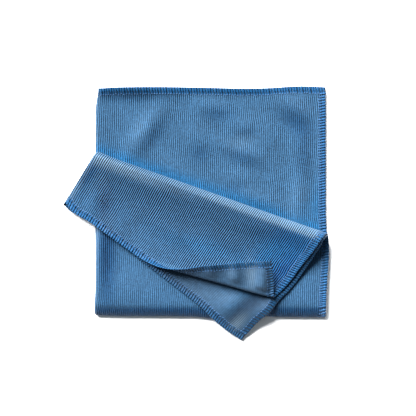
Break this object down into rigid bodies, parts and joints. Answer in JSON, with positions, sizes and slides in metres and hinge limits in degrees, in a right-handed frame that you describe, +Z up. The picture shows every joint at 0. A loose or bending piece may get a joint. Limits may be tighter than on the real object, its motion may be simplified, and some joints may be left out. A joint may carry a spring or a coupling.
{
  "type": "microfibre cloth",
  "caption": "Square ribbed microfibre cloth folded in quarters, its front half turned down across the stack and one corner turned back.",
  "frame": {"origin": "centre of the bounding box on the surface the cloth rests on", "axes": "+Z up from the surface, +Y towards the cloth's free top edge, +X towards its free right edge"},
  "size_m": [0.2291, 0.2197, 0.0262],
  "materials": {
    "cloth": "matte ribbed microfibre knit"
  },
  "bodies": {
    "root": {"cloth": "cloth"}
  },
  "joints": []
}
